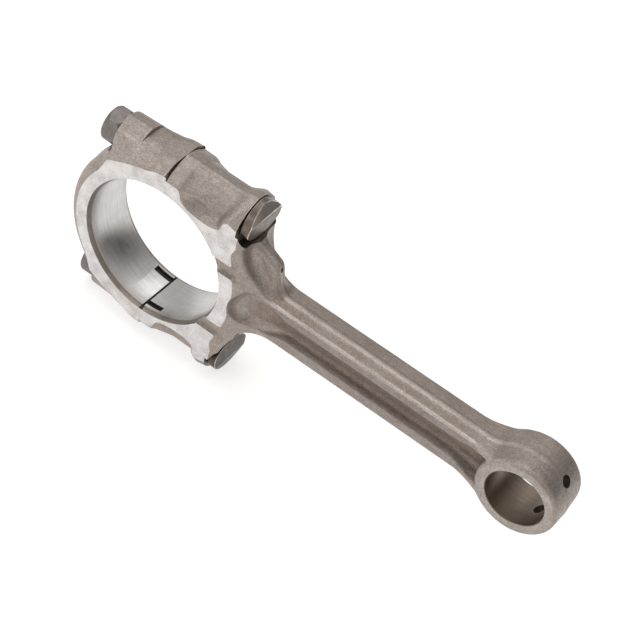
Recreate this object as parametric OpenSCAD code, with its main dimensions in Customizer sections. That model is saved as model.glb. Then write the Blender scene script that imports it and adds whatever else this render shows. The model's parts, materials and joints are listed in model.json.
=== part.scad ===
// Connecting rod of a small piston engine, with its bearing cap, bolts and nuts.
//
// Frame: the origin is the centre of the big-end bore. +X points along the beam
// to the small end, +Y along both bores, +Z to the upper bolt. Millimetres.
// The forging and the cap meet in the plane x = 0.

/* [Bores] */
// Distance between the centres of the two bores
centre_distance = 150.7; // [120:0.1:180]
// Diameter of the big-end housing bore
big_bore_d = 56.87; // [45:0.01:65]
// Diameter of the piston-pin bore, a press fit on a 22 mm pin
pin_bore_d = 21.97; // [18:0.01:26]

/* [Big end] */
// Width of the big end across its ground side faces
big_end_w = 22.1; // [18:0.1:28]
// Outer radius of the ground side face around the bore
land_r = 34; // [31:0.1:38]
// Outer radius of the rod's half ring, half-way between the side faces
ring_r = 37.4; // [35:0.1:40]
// Outer radius of the cap's half ring, half-way between the side faces
cap_ring_r = 38.1; // [35:0.1:40]
// Axial and radial size of the bore chamfer on the front face, facing -Y
front_chamfer = [1.75, 0.8]; // [0.2:0.05:3]
// Axial and radial size of the bore chamfer on the back face, facing +Y
back_chamfer = [0.8, 0.8]; // [0.2:0.05:3]

/* [Bolts and nuts] */
// Height of each bolt's axis above or below the bore centre
bolt_z = 32.9; // [30:0.1:38]
// Diameter of the bolts
bolt_d = 8; // [7:0.5:11]
// Thread pitch of the bolts and nuts
thread_pitch = 1; // [0.75:0.25:1.5]
// Radial clearance of the bolt in the cap's hole
cap_hole_gap = 0.1; // [0.05:0.05:0.4]
// Radial running clearance between nut and bolt
nut_gap = 0.04; // [0.01:0.01:0.1]
// Distance from the parting face to the bolt heads' seats
head_seat_x = 30.1; // [26:0.1:34]
// Distance from the parting face to the nuts' seats
nut_seat_x = 25; // [20:0.1:30]
// Radius of a bolt head's round side
head_r = 9.4; // [8:0.1:11]
// Thickness of a bolt head
head_t = 4; // [2:0.1:6]
// Distance from the bolt's axis to the flat side of its head
head_flat = 6.6; // [5:0.1:9]
// Angle that each bolt head has turned before its corner meets the step beside it
head_turn = 12; // [0:1:20]
// Size of a nut across its flats
nut_af = 13; // [11:0.5:17]
// Turn of the nuts about their bolts, where tightening left them
nut_turn = 11; // [0:1:59]
// Height of a nut with its washer face
nut_h = 6.8; // [5:0.1:10]
// How far a bolt's end stands out of its nut
bolt_end_out = 0.5; // [0:0.1:3]

/* [Beam] */
// Width of the beam along the bores
beam_w = 12.6; // [9:0.1:16]
// Height of the beam at its edges
beam_h = 16.9; // [14:0.1:24]
// Extra height of the flanges along the forging's parting line
beam_crown = 0.8; // [0:0.1:2]
// Height of the beam's pocket
pocket_h = 8.9; // [6:0.1:12]
// Thickness of the web between the two pockets
web_t = 4.4; // [3:0.1:8]

/* [Small end] */
// Width of the small end across its side faces
small_end_w = 18.75; // [14:0.05:24]
// Outer radius of the small end at its side faces
eye_face_r = 14.3; // [12:0.1:18]
// Outer radius of the small end at mid width
eye_r = 15.4; // [13:0.1:19]
// Chamfer of the piston-pin bore
pin_chamfer = 0.25; // [0.1:0.05:1]
// Diameter of the two oil holes to the piston pin
oil_hole_d = 4.4; // [2:0.1:5]
// Angle of the oil holes from the rod's centre line
oil_hole_angle = 45; // [20:1:70]

/* [Hidden] */
$fn = 96;
big_r = big_bore_d / 2;
pin_r = pin_bore_d / 2;
big_half_w = big_end_w / 2;
small_half_w = small_end_w / 2;
beam_half_w = beam_w / 2;
beam_half_h = beam_h / 2;
bolt_r = bolt_d / 2;
SLACK = 1;               // how far a cutter runs past the solid that it cuts
REACH = 60;              // longer than any half of the big end

// Concave corners where the beam grows into the shoulders and into the eye
shoulder_fillet_r = 18;
shoulder_fillet_x = 51.4;
shoulder_half_h = 26.4;
eye_fillet_r = 15;
eye_fillet_x = 132;
eye_tangent_x = 141;

// Bolt bosses: round columns with wider lugs at the joint face and at the seat
column_r = 7.7;
cap_column_r = [8.2, 8.9];    // at the nut and at the joint face
lug_r = 14;
lug_top_z = 40.4;
lug_len = 6;
cap_pad_z = 39.9;
cap_pad_len = 15;
seat_cut_r = 11.2;
seat_step = 8;               // from a bolt's axis to the step that keeps its head from turning
nut_seat_r = 9.4;

// Forged channels across the big end's side faces, beside the middle land
channel_z = [12.1, 17.5];
channel_depth = 1.2;

// Slots that keep the bearing shells' tangs
tang_w = 2.4;
tang_depth = 1.4;
rod_tang_y = -7;
rod_tang_len = 6.7;
cap_tang_y = 7.4;
cap_tang_len = 8;

// Oil squirt hole from the big-end bore through the upper shoulder
squirt_d = 1.8;
squirt_exit = [44.6, 0, 19];
squirt_angle = 30;
squirt_boss_r = 3.2;
squirt_boss_out = 2.2;       // the boss ends this far short of the exit point

washer_r = nut_af / 2 - 0.1;
washer_t = 0.5;
nut_chamfer = 1.1;           // of the nut's corners, at its outer end
head_edge = 0.8;             // bevel around the end face of a bolt head
bolt_tip_chamfer = 0.7;

// ---- placing helpers ----

// A cylinder along +Y, centred on y = 0
module y_cylinder(r, h) {
    rotate([90, 0, 0]) cylinder(r = r, h = h, center = true);
}

// A cylinder along +X from x0 to x1 at height z
module x_cylinder(r, x0, x1, z) {
    translate([x0, 0, z]) rotate([0, 90, 0]) cylinder(r = r, h = x1 - x0);
}

// A flat outline drawn in x and z, spread to y = -half_w .. half_w
module xz_plate(half_w) {
    rotate([90, 0, 0]) linear_extrude(2 * half_w, center = true) children();
}

// Both the upper and the lower copy of a feature
module upper_and_lower() {
    children();
    mirror([0, 0, 1]) children();
}

// The half space on the rod's side (side = 1) or on the cap's side (side = -1)
module half_space(side) {
    translate([side > 0 ? 0 : -REACH, -REACH, -REACH]) cube([REACH, 2 * REACH, 2 * REACH]);
}

// ---- big end ----

// The round ring of outer radius r, thickest half-way between its side faces
module big_ring(r) {
    rotate([90, 0, 0]) rotate_extrude()
        polygon([
            [big_r - SLACK, -big_half_w], [land_r, -big_half_w],
            [land_r + 0.5 * (r - land_r), -big_half_w + 0.8], [r - 0.2, -big_half_w + 2.8], [r, 0],
            [r - 0.2, big_half_w - 2.8], [land_r + 0.5 * (r - land_r), big_half_w - 0.8],
            [land_r, big_half_w], [big_r - SLACK, big_half_w]
        ]);
}

// A lug around a bolt, as wide as the big end, with a rounded top
module lug(x0, x1) {
    intersection() {
        x_cylinder(lug_r, x0, x1, lug_top_z - lug_r);
        translate([x0, -big_half_w, big_r - 4]) cube([x1 - x0, big_end_w, lug_r]);
    }
}

// The bore with its chamfers; rotating to Y puts the lathe axis' top at the front
module big_bore_cut() {
    front = big_half_w;
    rotate([90, 0, 0]) rotate_extrude()
        polygon([
            [0, -front - SLACK], [big_r + back_chamfer[1], -front - SLACK],
            [big_r + back_chamfer[1], -front], [big_r, -front + back_chamfer[0]],
            [big_r, front - front_chamfer[0]], [big_r + front_chamfer[1], front],
            [big_r + front_chamfer[1], front + SLACK], [0, front + SLACK]
        ]);
}

// A milled slot for a shell's tang, on one side of the joint face
module tang_slot(side, y, length) {
    intersection() {
        translate([0, y, 0]) y_cylinder(big_r + tang_depth, tang_w);
        translate([side > 0 ? -SLACK : -length, -REACH, -REACH]) cube([length + SLACK, 2 * REACH, REACH]);
    }
}

// ---- rod forging ----

// Outline of the forging between the ring and the eye, seen along the bores
module beam_outline() {
    difference() {
        union() {
            translate([0, -beam_half_h]) square([centre_distance, beam_h]);
            translate([big_r, -shoulder_half_h])
                square([shoulder_fillet_x - big_r, 2 * shoulder_half_h]);
            translate([eye_fillet_x, -eye_r]) square([eye_tangent_x - eye_fillet_x, 2 * eye_r]);
        }
        for (s = [-1, 1]) {
            translate([shoulder_fillet_x, s * (beam_half_h + shoulder_fillet_r)]) circle(shoulder_fillet_r);
            translate([eye_fillet_x, s * (beam_half_h + eye_fillet_r)]) circle(eye_fillet_r);
        }
    }
}

// Outline of the same stretch seen from above: wide at both ends, narrow between
module width_outline() {
    wide_to_x = 32;
    narrow_from_x = 46;
    narrow_to_x = 129;
    eye_from_x = 138;
    polygon([
        [0, -big_half_w], [wide_to_x - 3, -big_half_w], [wide_to_x, -big_half_w + 0.8],
        [wide_to_x + 5, -big_half_w + 3], [narrow_from_x, -beam_half_w],
        [narrow_to_x, -beam_half_w], [eye_from_x, -small_half_w + 0.2],
        [centre_distance, -small_half_w + 0.2], [centre_distance, small_half_w - 0.2],
        [eye_from_x, small_half_w - 0.2], [narrow_to_x, beam_half_w],
        [narrow_from_x, beam_half_w], [wide_to_x + 5, big_half_w - 3],
        [wide_to_x, big_half_w - 0.8], [wide_to_x - 3, big_half_w], [0, big_half_w]
    ]);
}

module beam() {
    intersection() {
        xz_plate(big_half_w) beam_outline();
        linear_extrude(2 * REACH, center = true) width_outline();
    }
}

// The flanges' low roof, highest along the forging's parting line
module flange_roof() {
    from_x = 46;
    to_x = 140;
    translate([from_x, 0, 0]) rotate([90, 0, 90]) linear_extrude(to_x - from_x)
        polygon([
            [-beam_half_w, 0], [-beam_half_w, beam_half_h], [-1.2, beam_half_h + beam_crown],
            [1.2, beam_half_h + beam_crown], [beam_half_w, beam_half_h], [beam_half_w, 0]
        ]);
}

// The long recess in one side of the beam, wider towards both ends
module pocket() {
    big_x = 40.5;
    big_round_r = 6.4;
    small_x = 129.4;
    small_round_r = 5.2;
    depth = big_half_w;
    translate([0, -web_t / 2 - depth / 2, 0]) xz_plate(depth / 2) {
        translate([big_x, 0]) circle(big_round_r);
        translate([small_x, 0]) circle(small_round_r);
        polygon([
            [big_x, -big_round_r], [big_x + 12, -pocket_h / 2], [small_x - 16, -pocket_h / 2],
            [small_x, -small_round_r], [small_x, small_round_r], [small_x - 16, pocket_h / 2],
            [big_x + 12, pocket_h / 2], [big_x, big_round_r]
        ]);
    }
}

// The shallow forged channel beside the middle land, on one side face
module channel() {
    translate([big_r - 6, -big_half_w - SLACK, channel_z[0]])
        cube([12, channel_depth + SLACK, channel_z[1] - channel_z[0]]);
}

// The small end, slightly barrelled, on the beam's end
module eye() {
    rim = 1.8;
    translate([centre_distance, 0, 0]) rotate([90, 0, 0]) rotate_extrude()
        polygon([
            [0, -small_half_w], [eye_face_r, -small_half_w], [eye_r, -rim],
            [eye_r, rim], [eye_face_r, small_half_w], [0, small_half_w]
        ]);
}

module pin_bore_cut() {
    edge = small_half_w;
    translate([centre_distance, 0, 0]) rotate([90, 0, 0]) rotate_extrude()
        polygon([
            [0, -edge - SLACK], [pin_r + pin_chamfer, -edge - SLACK], [pin_r + pin_chamfer, -edge],
            [pin_r, -edge + pin_chamfer], [pin_r, edge - pin_chamfer],
            [pin_r + pin_chamfer, edge], [pin_r + pin_chamfer, edge + SLACK], [0, edge + SLACK]
        ]);
}

module oil_hole() {
    translate([centre_distance, 0, 0]) rotate([0, 90 - oil_hole_angle, 0])
        translate([0, 0, pin_r - SLACK]) cylinder(d = oil_hole_d, h = eye_r - pin_r + 2 * SLACK);
}

// A cylinder on the squirt hole's axis, from inside the bore or the shoulder to its exit
module squirt_cylinder(r, inward, outward) {
    translate(squirt_exit) rotate([0, 90 - squirt_angle, 0])
        translate([0, 0, -inward]) cylinder(r = r, h = inward + outward);
}

// The milled seat under a bolt head, with a straight step on the beam's side
module head_seat_cut() {
    intersection() {
        x_cylinder(seat_cut_r, head_seat_x, head_seat_x + 25, bolt_z);
        translate([0, -REACH, bolt_z - seat_step]) cube([REACH, 2 * REACH, REACH]);
    }
}

module rod_forging() color([0.50, 0.46, 0.43]) difference() {
    union() {
        intersection() {
            big_ring(ring_r);
            half_space(1);
        }
        beam();
        upper_and_lower() {
            lug(0, lug_len);
            x_cylinder(column_r, 0, head_seat_x, bolt_z);
            lug(head_seat_x - lug_len, head_seat_x);
            flange_roof();
        }
        eye();
        squirt_cylinder(squirt_boss_r, 12, -squirt_boss_out);
    }
    big_bore_cut();
    pin_bore_cut();
    squirt_cylinder(squirt_d / 2, 28, SLACK);
    upper_and_lower() {
        x_cylinder(bolt_r, -SLACK, head_seat_x + SLACK, bolt_z);
        head_seat_cut();
        oil_hole();
        for (face = [0, 1]) mirror([0, face, 0]) channel();
    }
    for (face = [0, 1]) mirror([0, face, 0]) pocket();
    tang_slot(1, rod_tang_y, rod_tang_len);
}

// ---- bearing cap ----

// The bolt column of the cap, with its milled pad beside the joint face
module cap_boss() {
    difference() {
        union() {
            translate([-nut_seat_x, 0, bolt_z]) rotate([0, 90, 0])
                cylinder(r1 = cap_column_r[0], r2 = cap_column_r[1], h = nut_seat_x);
            lug(-lug_len, 0);
            translate([-nut_seat_x, -big_half_w, 10]) cube([nut_seat_x, big_end_w, 18]);
        }
        translate([-cap_pad_len, -REACH, cap_pad_z]) cube([cap_pad_len + SLACK, 2 * REACH, REACH]);
    }
}

module bearing_cap() color([0.52, 0.48, 0.45]) difference() {
    union() {
        intersection() {
            big_ring(cap_ring_r);
            half_space(-1);
        }
        upper_and_lower() cap_boss();
    }
    big_bore_cut();
    upper_and_lower() {
        x_cylinder(bolt_r + cap_hole_gap, -nut_seat_x - SLACK, SLACK, bolt_z);
        x_cylinder(nut_seat_r, -nut_seat_x - 15, -nut_seat_x, bolt_z);
    }
    tang_slot(-1, cap_tang_y, cap_tang_len);
}

// ---- bolts and nuts ----

// A bolt along X, with its flat-sided head on the rod's shoulder
module bolt() {
    tip_x = -nut_seat_x - nut_h - bolt_end_out;
    x_cylinder(bolt_r, tip_x + bolt_tip_chamfer, head_seat_x, bolt_z);
    translate([tip_x, 0, bolt_z]) rotate([0, 90, 0])
        cylinder(r1 = bolt_r - bolt_tip_chamfer, r2 = bolt_r, h = bolt_tip_chamfer);
    intersection() {
        union() {
            x_cylinder(head_r, head_seat_x, head_seat_x + head_t - head_edge, bolt_z);
            translate([head_seat_x + head_t - head_edge, 0, bolt_z]) rotate([0, 90, 0])
                cylinder(r1 = head_r, r2 = head_r - head_edge, h = head_edge);
        }
        translate([0, 0, bolt_z]) rotate([-head_turn, 0, 0])
            translate([0, -REACH, -head_flat]) cube([REACH, 2 * REACH, REACH]);
    }
}

module upper_bolt() color([0.36, 0.33, 0.31]) bolt();

module lower_bolt() color([0.36, 0.33, 0.31]) rotate([180, 0, 0]) bolt();

// A hexagon nut with a washer face and a chamfered outer end
module nut() {
    hex_r = nut_af / 2 / cos(30);
    seat_x = -nut_seat_x;
    difference() {
        union() {
            x_cylinder(washer_r, seat_x - washer_t, seat_x, bolt_z);
            intersection() {
                translate([seat_x - nut_h, 0, bolt_z]) rotate([nut_turn, 90, 0])
                    cylinder(r = hex_r, h = nut_h - washer_t, $fn = 6);
                translate([seat_x - nut_h, 0, bolt_z]) rotate([0, 90, 0])
                    cylinder(r1 = hex_r - nut_chamfer, r2 = hex_r - nut_chamfer + nut_h, h = nut_h);
            }
        }
        x_cylinder(bolt_r + nut_gap, seat_x - nut_h - SLACK, seat_x + SLACK, bolt_z);
    }
}

module upper_nut() color([0.44, 0.41, 0.42]) nut();

module lower_nut() color([0.44, 0.41, 0.42]) mirror([0, 0, 1]) nut();

rod_forging();
bearing_cap();
upper_bolt();
lower_bolt();
upper_nut();
lower_nut();
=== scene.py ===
"""A forged connecting rod with its bolted cap. Lengths in the modelling functions are millimetres."""
import json
import math

import bmesh
import bpy
import numpy as np
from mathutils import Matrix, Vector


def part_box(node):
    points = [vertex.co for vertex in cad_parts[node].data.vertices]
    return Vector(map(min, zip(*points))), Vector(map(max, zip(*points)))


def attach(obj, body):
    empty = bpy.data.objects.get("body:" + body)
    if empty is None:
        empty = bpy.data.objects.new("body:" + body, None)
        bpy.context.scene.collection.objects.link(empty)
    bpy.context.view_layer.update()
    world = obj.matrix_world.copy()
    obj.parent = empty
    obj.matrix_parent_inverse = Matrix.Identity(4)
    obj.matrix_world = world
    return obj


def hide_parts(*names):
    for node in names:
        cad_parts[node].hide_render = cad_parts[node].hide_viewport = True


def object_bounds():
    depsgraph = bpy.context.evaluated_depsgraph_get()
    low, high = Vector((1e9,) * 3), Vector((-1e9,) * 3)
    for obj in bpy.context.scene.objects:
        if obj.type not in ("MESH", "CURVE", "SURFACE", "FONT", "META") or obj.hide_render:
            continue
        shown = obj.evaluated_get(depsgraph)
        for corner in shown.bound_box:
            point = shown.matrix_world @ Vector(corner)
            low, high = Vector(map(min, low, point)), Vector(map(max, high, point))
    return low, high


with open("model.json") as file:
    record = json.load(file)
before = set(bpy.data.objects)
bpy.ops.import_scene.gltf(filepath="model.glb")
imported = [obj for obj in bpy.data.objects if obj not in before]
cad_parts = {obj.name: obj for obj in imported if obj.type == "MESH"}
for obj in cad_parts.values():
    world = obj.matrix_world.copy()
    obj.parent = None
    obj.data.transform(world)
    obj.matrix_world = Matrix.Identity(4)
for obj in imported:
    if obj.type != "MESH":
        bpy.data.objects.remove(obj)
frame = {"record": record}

import openvdb
from mathutils import Matrix, Vector

cad_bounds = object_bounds()
MM = 0.001               # one millimetre in metres

# ---- sizes that the frame gives ----
mounts = {m["name"]: m for m in frame["record"]["mounts"]}
joints = {j["name"]: j for j in frame["record"]["behaviour"]["joints"]}
BORE_R = mounts["big_end_bore"]["dims"]["r_mm"]
PIN_R = mounts["small_end_bore"]["dims"]["r_mm"]
EYE_X = mounts["small_end_bore"]["pos_m"][0] / MM
BIG_HALF_W = mounts["big_end_back_face"]["pos_m"][1] / MM
PIN_CHAMFER = 0.25       # the CAD's own; the frame gives only the bore between the chamfers
EYE_HALF_W = mounts["small_end_bore"]["dims"]["length_mm"] / 2 + PIN_CHAMFER
BOLT_Z = joints["upper_nut_spin"]["pos_m"][2] / MM
BOLT_TIP_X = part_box("upper_bolt")[0].x / MM
HEAD_END_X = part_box("upper_bolt")[1].x / MM
HEAD_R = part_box("upper_bolt")[1].y / MM
NUT_SEAT_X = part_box("upper_nut")[1].x / MM
NUT_END_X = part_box("upper_nut")[0].x / MM

# ---- sizes of the visual model ----
SKIN = 0.25              # what grinding takes off the forging's side faces
RING_R = 37.4            # the rod's half ring
CAP_RING_R = 38.1        # the cap's half ring
LAND_R = 33.65           # the ground land around the big-end bore
LUG_R = 14
JOINT_LUG_TOP = 40.2
JOINT_GAP = 0.42         # how wide the relief along the joint is, on each side of it
LUG_GAP = 0.8            # how deep that relief is in a lug's top
BOLT_R = 4.0
CAP_HOLE_R = BOLT_R + 0.1
HEAD_SEAT_X = 30.1
HEAD_CUT_R = 11.2
SEAT_STEP = 6.9          # from a bolt's axis to the straight step of its head's seat
SEAT_CORNER_R = 5.0
NUT_CUT_R = 9.4
CAP_PAD_Z = 39.8
CAP_PAD_LEN = 15
CAP_END_X = -25.7        # where the cap's bosses end, before their seats are milled
BEAM_HALF_W = 6.4
BEAM_HALF_H = 8.6
WEB_HALF_T = 2.2
EYE_R = 15.55
OIL_HOLE_R = 2.2
OIL_HOLE_ANGLE = math.radians(45)
SQUIRT_R = 0.9
SQUIRT_EXIT = (44.7, 0, 18.4)
SQUIRT_ANGLE = math.radians(30)
PARTING_Y = -0.9         # the forging dies met a little off the middle
FLASH_HALF_W = 1.0
FLASH_HEIGHT = 0.35
TANG_DEPTH = 1.3
FAR = 60                 # beyond the big end on every side


# ---- distance fields: negative inside the metal ----

def union(a, b, r):
    """Joins two fields with a fillet of radius r in the corner between them."""
    return np.maximum(r, np.minimum(a, b)) - np.hypot(np.maximum(r - a, 0), np.maximum(r - b, 0))


def common(a, b, r):
    """What two fields share, with the edge between them rounded to radius r."""
    return np.minimum(-r, np.maximum(a, b)) + np.hypot(np.maximum(r + a, 0), np.maximum(r + b, 0))


def cut(a, b, r):
    """What is left of field a once b is taken out, with the edge rounded to radius r."""
    return common(a, -b, r)


def ramp(t):
    """0 below t = 0, 1 above t = 1 and smooth between."""
    t = np.clip(t, 0, 1)
    return t * t * (3 - 2 * t)


def as_forged_sides(y):
    """The big end's side faces before they are ground."""
    return abs(y) - BIG_HALF_W - SKIN


def ring(x, y, z, outer_r):
    """The big end's ring, with its side faces' outer edges rounded from the ground land outwards."""
    draft = 0.015
    edge_r = 1.25 * (outer_r - LAND_R)
    return common(np.hypot(x, z) - outer_r + draft * abs(y), as_forged_sides(y), edge_r)


def lug(y, z, end, top, end_r=2.5):
    """A dome across the whole big end, over the stretch of the bolt's column where end < 0."""
    side_r = 1.6
    dome = common(np.hypot(y, z - top + LUG_R) - LUG_R, as_forged_sides(y), side_r)
    return common(dome, end, end_r)


def flash(y):
    """The trimmed flash: a low band along the dies' parting line."""
    return FLASH_HEIGHT * np.exp(-(((y - PARTING_Y) / FLASH_HALF_W) ** 4))


def beam_top(h, to_fillet, r):
    """The flange's top, which curls up into a concave corner of radius r where to_fillet < 0."""
    return r - np.hypot(np.minimum(to_fillet, 0), np.minimum(h - BEAM_HALF_H - r, 0))


def shoulder_and_beam(x, y, z):
    """The stretch from the ring to the eye, before its pockets are pressed in."""
    fillet_r, fillet_x = 18, 51.5
    eye_fillet_r, eye_fillet_x = 15, 132
    middle_x, end_x, shoulder_top = 90, 142, 27
    crown = 0.05
    h = z + crown * abs(y) - crown * BEAM_HALF_W
    big = beam_top(h, x - fillet_x, fillet_r)
    small = beam_top(h, eye_fillet_x - x, eye_fillet_r)
    outline = np.maximum(np.where(x < middle_x, big, small), z - shoulder_top)
    flare_from_x, flare_spread = 27, 92
    eye_flare_from_x, eye_flare_len = 127, 11
    flare = 5.0 * np.exp(-np.maximum(x - flare_from_x, 0) ** 2 / flare_spread)
    wide = flare + 2.1 * ramp((x - eye_flare_from_x) / eye_flare_len)
    body = common(outline, abs(y) - BEAM_HALF_W - wide, 1.0)
    return common(body, np.maximum(x - end_x, -x), 0.5)


def pocket(x, y, z):
    """One long recess on each side of the web, wider at both ends; it runs into the eye."""
    draft = 0.27
    start_x, end_x = 42, 138
    round_x, round_r, round_fillet_r = 41.5, 6.3, 9
    widens_from_x, rises_from_x = 122, 56
    half_h = 3.5 + 1.9 * ramp((x - widens_from_x) / 13)
    slab = np.maximum(abs(z) - half_h, np.maximum(start_x - x, x - end_x))
    outline = union(slab, np.hypot(x - round_x, z) - round_r, round_fillet_r)
    depth = abs(y) - WEB_HALF_T - 2.6 * ramp((rises_from_x - x) / 19)
    floor_r = 1.4 + 2.6 * ramp((rises_from_x - x) / 14)
    return common(outline - draft * depth, -depth, floor_r)


def eye(x, y, z):
    """The small end, slightly barrelled, before its side faces are cut."""
    barrel, edge_r = 0.004, 2.0
    return common(np.hypot(x - EYE_X, z) - EYE_R + barrel * y * y, abs(y) - EYE_HALF_W - SKIN, edge_r)


def scoops(x, y, z):
    """The hollows in the rod's flanks, between the side faces' lands and the bolts' bosses."""
    centre_x, centre_y, centre_z = 15.5, 11.4, 31.9
    half_x, half_y, half_z = 7.2, 3.3, 3.4
    lean, lean_z = 0.5, 31
    mean_r = 3.2
    across = (abs(y) - centre_y) / half_y
    along = (x - centre_x - lean * (lean_z - z)) / half_x
    rise = (z - centre_z) / half_z
    return mean_r * (np.sqrt(across ** 2 + along ** 2 + rise ** 2) - 1)


def channels(x, y, z):
    """Forged grooves across the side faces, between the middle land and the bosses' lands."""
    middle_x, half_len = 30, 8
    middle_z, half_h, depth = 14.8, 2.7, 1.2
    across = common(abs(z - middle_z) - half_h, BIG_HALF_W - depth - abs(y), 1.0)
    return common(across, abs(x - middle_x) - half_len, 2)


def squirt_boss(x, y, z):
    """The rib behind the bolt's seat that the oil squirt hole comes out of."""
    start_x, low_z, half_w = 28, 8, 2.9
    # Two planes, each by its normal in x and z: a sloping top, and a front through the exit point
    top = 0.47 * x + 0.88 * z - 38.6
    front = 0.97 * (x - SQUIRT_EXIT[0]) + 0.24 * (z - SQUIRT_EXIT[2])
    profile = common(common(top, front, 1.6), np.maximum(start_x - x, low_z - z), 1)
    return common(profile, abs(y) - half_w, 1.7)


def rod_column(x, y, up):
    """The round column over a bolt, a little thicker towards the head's seat."""
    r = 7.7 + 1.0 * ramp((x - 22) / 6)
    return np.maximum(np.hypot(y, up - BOLT_Z) - r, x - HEAD_SEAT_X - 1)


def seat_lug(x, y, up):
    """The lug that a bolt head's seat is milled into: both its ends lean, and its top slopes down."""
    # The divisors turn the leaning ends' offsets along x into distances
    left = (27.0 - 0.5 * (41 - up) - x) / 1.12
    right = (x - 32.9 + 0.61 * np.maximum(28.7 - up, 0)) / 1.17
    top = 41.1 - 0.3 * np.maximum(x - 26.5, 0)
    return lug(y, up, common(left, right, 2), top)


def rod_field(x, y, z):
    """The whole rod as forged. It runs 2 mm past the joint, which is cut later."""
    joint_lug_end = 6.2
    up = abs(z)
    body = union(ring(x, y, z, RING_R), shoulder_and_beam(x, y, up), 3)
    body = union(body, rod_column(x, y, up), 2.2)
    body = union(body, lug(y, up, x - joint_lug_end, JOINT_LUG_TOP, end_r=1.5), 1.6)
    body = union(body, seat_lug(x, y, up), 2.5)
    body = cut(body, channels(x, y, up), 0.8)
    body = cut(body, scoops(x, y, up), 1.5)
    body = cut(body, pocket(x, y, z), 0.5)
    body = union(body, squirt_boss(x, y, z), 3.5)
    body = union(body, eye(x, y, z), 1)
    eye_flash = 1 - 0.5 * ramp((x - 130) / 8)
    return np.maximum(body - flash(y) * eye_flash, -2 - x)


def cap_flank(x, y, up):
    """What joins a bolt's column to the cap's ring, under a sloping top."""
    low_z = 12
    # A plane through x = -13.4, z = 32.3, by its normal
    slope = -0.279 * (x + 13.4) + 0.960 * (up - 32.3)
    base = common(common(slope, CAP_END_X - x, 2), as_forged_sides(y), 4)
    return np.maximum(base, low_z - up)


def cap_column(x, y, up):
    """The round column over a bolt, wider towards the joint."""
    nut_r, flare = 8.2, 0.8
    column = np.hypot(y, up - BOLT_Z) - nut_r - flare * (x - NUT_SEAT_X) / -NUT_SEAT_X
    return common(column, CAP_END_X - x, 1)


def cap_field(x, y, z):
    """The whole cap as forged. It runs 2 mm past the joint, which is cut later."""
    joint_lug_end = -5.8
    up = abs(z)
    body = ring(x, y, z, CAP_RING_R)
    body = union(body, cap_flank(x, y, up), 3)
    body = union(body, cap_column(x, y, up), 3)
    body = union(body, lug(y, up, joint_lug_end - x, JOINT_LUG_TOP + 0.2), 3)
    return np.maximum(body - flash(y), x - 2)


def padded_cap_field(x, y, z):
    """The cap with its bosses pressed flat, as they are over the pads beside the joint."""
    edge_r = 1.5
    return common(cap_field(x, y, z), abs(z) - CAP_PAD_Z, edge_r)


# ---- meshes ----
ROD_GRID = 0.55
CAP_GRID = 0.45
HEAD_GRID = 0.22
NUT_GRID = 0.2
BORE_SEGMENTS = 256
ROUND_SEGMENTS = 160
BOLT_SEGMENTS = 64
GAP_DEPTH = 0.9          # how deep the joint's relief is in the bore
GAP_FROM_Y = -9.5        # where that relief starts and ends
GAP_TO_Y = 10.4


def new_object(name, verts, faces):
    mesh = bpy.data.meshes.new(name)
    mesh.from_pydata(verts, [], faces)
    mesh.update()
    obj = bpy.data.objects.new(name, mesh)
    bpy.context.scene.collection.objects.link(obj)
    return obj


def gradient(field, p):
    """How the field rises along x, y and z at each point."""
    step = 0.02
    sides = []
    for axis in range(3):
        d = np.zeros(3)
        d[axis] = step
        sides.append((field(*(p + d).T) - field(*(p - d).T)) / (2 * step))
    return np.stack(sides, axis=1)


def field_object(name, field, low, high, step):
    """The field's surface as a mesh: quads from a voxel grid, then moved on to the true surface."""
    settling_rounds, least_slope, most_move = 3, 0.2, 0.3 * step
    axes = [np.arange(low[i] - 2 * step, high[i] + 2 * step, step) for i in range(3)]
    grid_axes = np.meshgrid(*axes, indexing="ij", sparse=True)
    values = np.broadcast_to(field(*grid_axes), [len(a) for a in axes]).astype(np.float32)
    grid = openvdb.FloatGrid(10.0)
    grid.copyFromArray(np.ascontiguousarray(values))
    points, quads = grid.convertToQuads(isovalue=0.0)
    points = points.astype(float) * step + [a[0] for a in axes]
    for _ in range(settling_rounds):
        g = gradient(field, points)
        size = np.maximum(np.sum(g * g, axis=1), least_slope)
        move = np.clip(field(*points.T) / size, -most_move, most_move)
        points = points - g * move[:, None]
    return new_object(name, points, quads)


def lathe(name, profile, centre, axis, segments):
    """A closed solid turned from (radius, along) points; the first and last are on the axis."""
    verts, faces = [], []
    n = len(profile)
    for i in range(segments):
        a = 2 * math.pi * i / segments
        for r, along in profile:
            u, v = r * math.cos(a), r * math.sin(a)
            p = (u, along, v) if axis == "y" else (along, u, v)
            verts.append([centre[k] + p[k] for k in range(3)])
    for i in range(segments):
        j = (i + 1) % segments
        for k in range(n - 1):
            faces.append([i * n + k, i * n + k + 1, j * n + k + 1, j * n + k])
    obj = new_object(name, verts, faces)
    clean(obj.data)
    return obj


def clean(mesh):
    """Welds doubled points and turns every face outwards."""
    same_point, no_length = 1e-5, 1e-6
    bm = bmesh.new()
    bm.from_mesh(mesh)
    bmesh.ops.remove_doubles(bm, verts=bm.verts, dist=same_point)
    bmesh.ops.dissolve_degenerate(bm, edges=bm.edges, dist=no_length)
    bmesh.ops.recalc_face_normals(bm, faces=bm.faces)
    bm.to_mesh(mesh)
    bm.free()


def block(name, low, high):
    """A box between two corners."""
    corners = [(x, y, z) for x in (low[0], high[0]) for y in (low[1], high[1]) for z in (low[2], high[2])]
    faces = [(0, 1, 3, 2), (4, 6, 7, 5), (0, 4, 5, 1), (2, 3, 7, 6), (0, 2, 6, 4), (1, 5, 7, 3)]
    obj = new_object(name, corners, faces)
    clean(obj.data)
    return obj


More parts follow.
